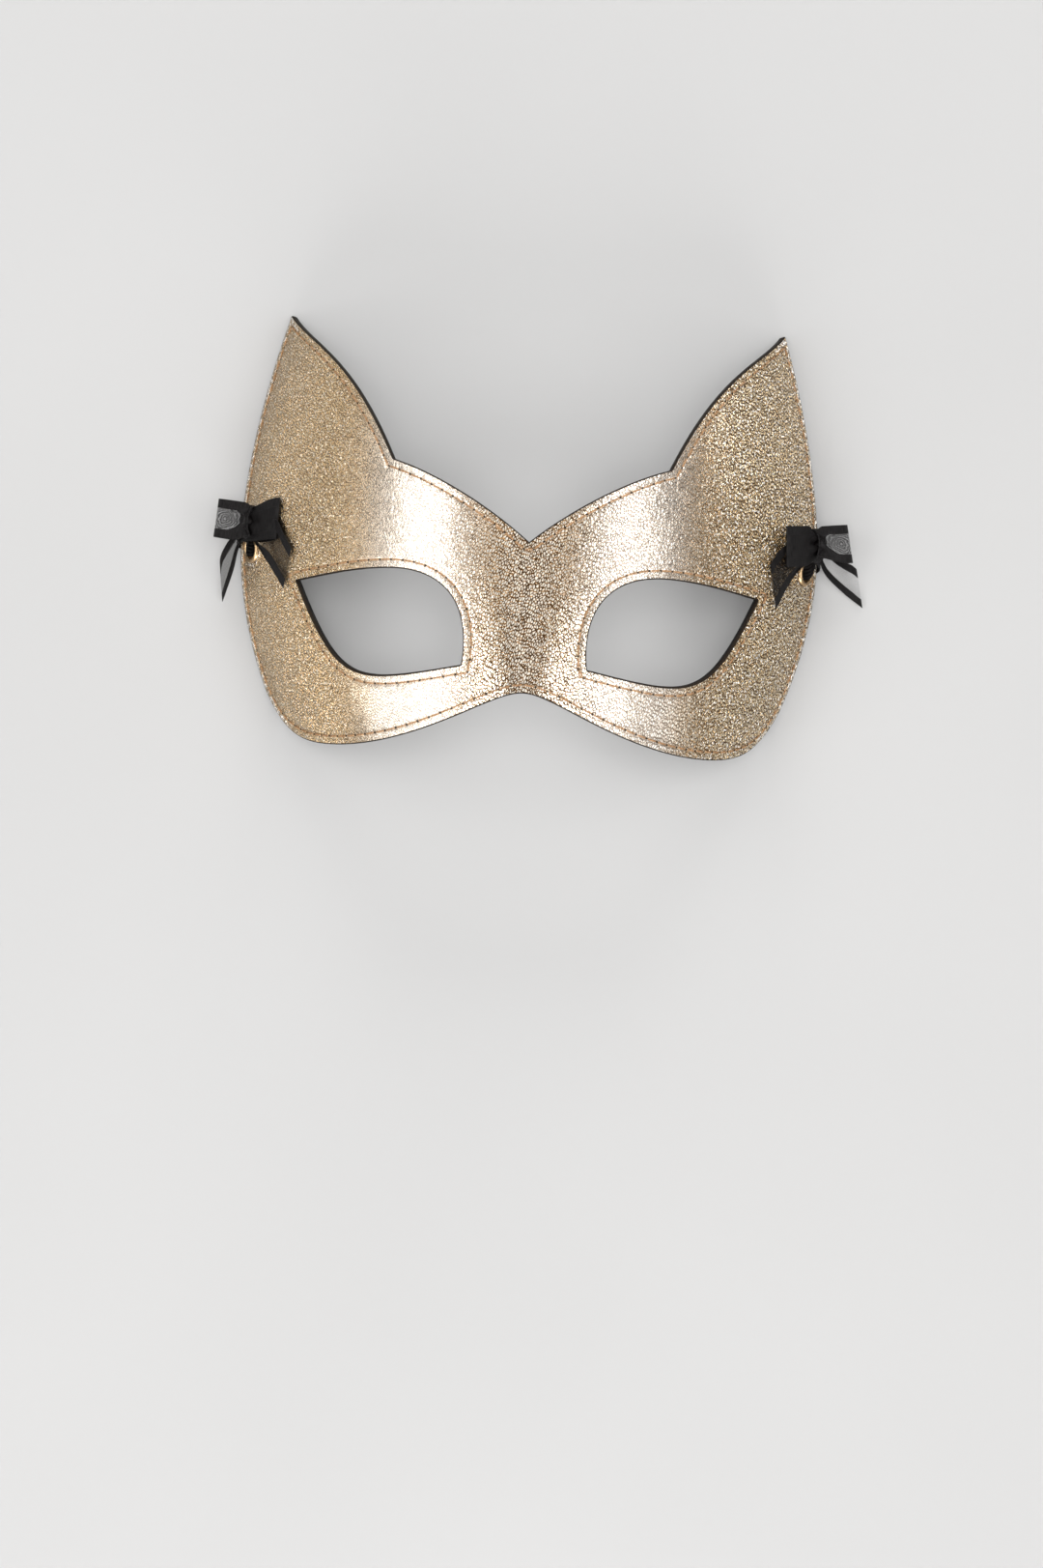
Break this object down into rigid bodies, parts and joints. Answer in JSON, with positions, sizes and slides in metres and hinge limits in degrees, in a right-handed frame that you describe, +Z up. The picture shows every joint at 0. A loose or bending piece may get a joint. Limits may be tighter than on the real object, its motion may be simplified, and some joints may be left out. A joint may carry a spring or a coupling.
{
  "type": "cat mask",
  "caption": "Cat half mask of gold grained leather on a black leather backing, stitched all round, with almond eye holes, pointed ears, and a brass eyelet and black ribbon bow at each side.",
  "frame": {"origin": "on the surface that the mask lies on, under the middle of its bounding box", "axes": "+X towards the wearer's left, +Y towards the ear tips, +Z up and out of the face"},
  "size_m": [0.1793, 0.1178, 0.0518],
  "materials": {
    "gold_leather": "metallic gold foil on a pebble grain",
    "black_leather": "matte, smooth grain and dyed cut edges",
    "tan_thread": "waxed sewing thread",
    "brass": "polished",
    "black_ribbon": "sheer ribbon with satin borders"
  },
  "bodies": {
    "root": {"face_leather": "gold_leather", "backing_leather": "black_leather", "outline_seam_thread": "tan_thread", "left_eye_seam_thread": "tan_thread", "right_eye_seam_thread": "tan_thread", "left_eyelet": "brass", "right_eyelet": "brass", "left_bow": "black_ribbon", "right_bow": "black_ribbon"}
  },
  "joints": []
}
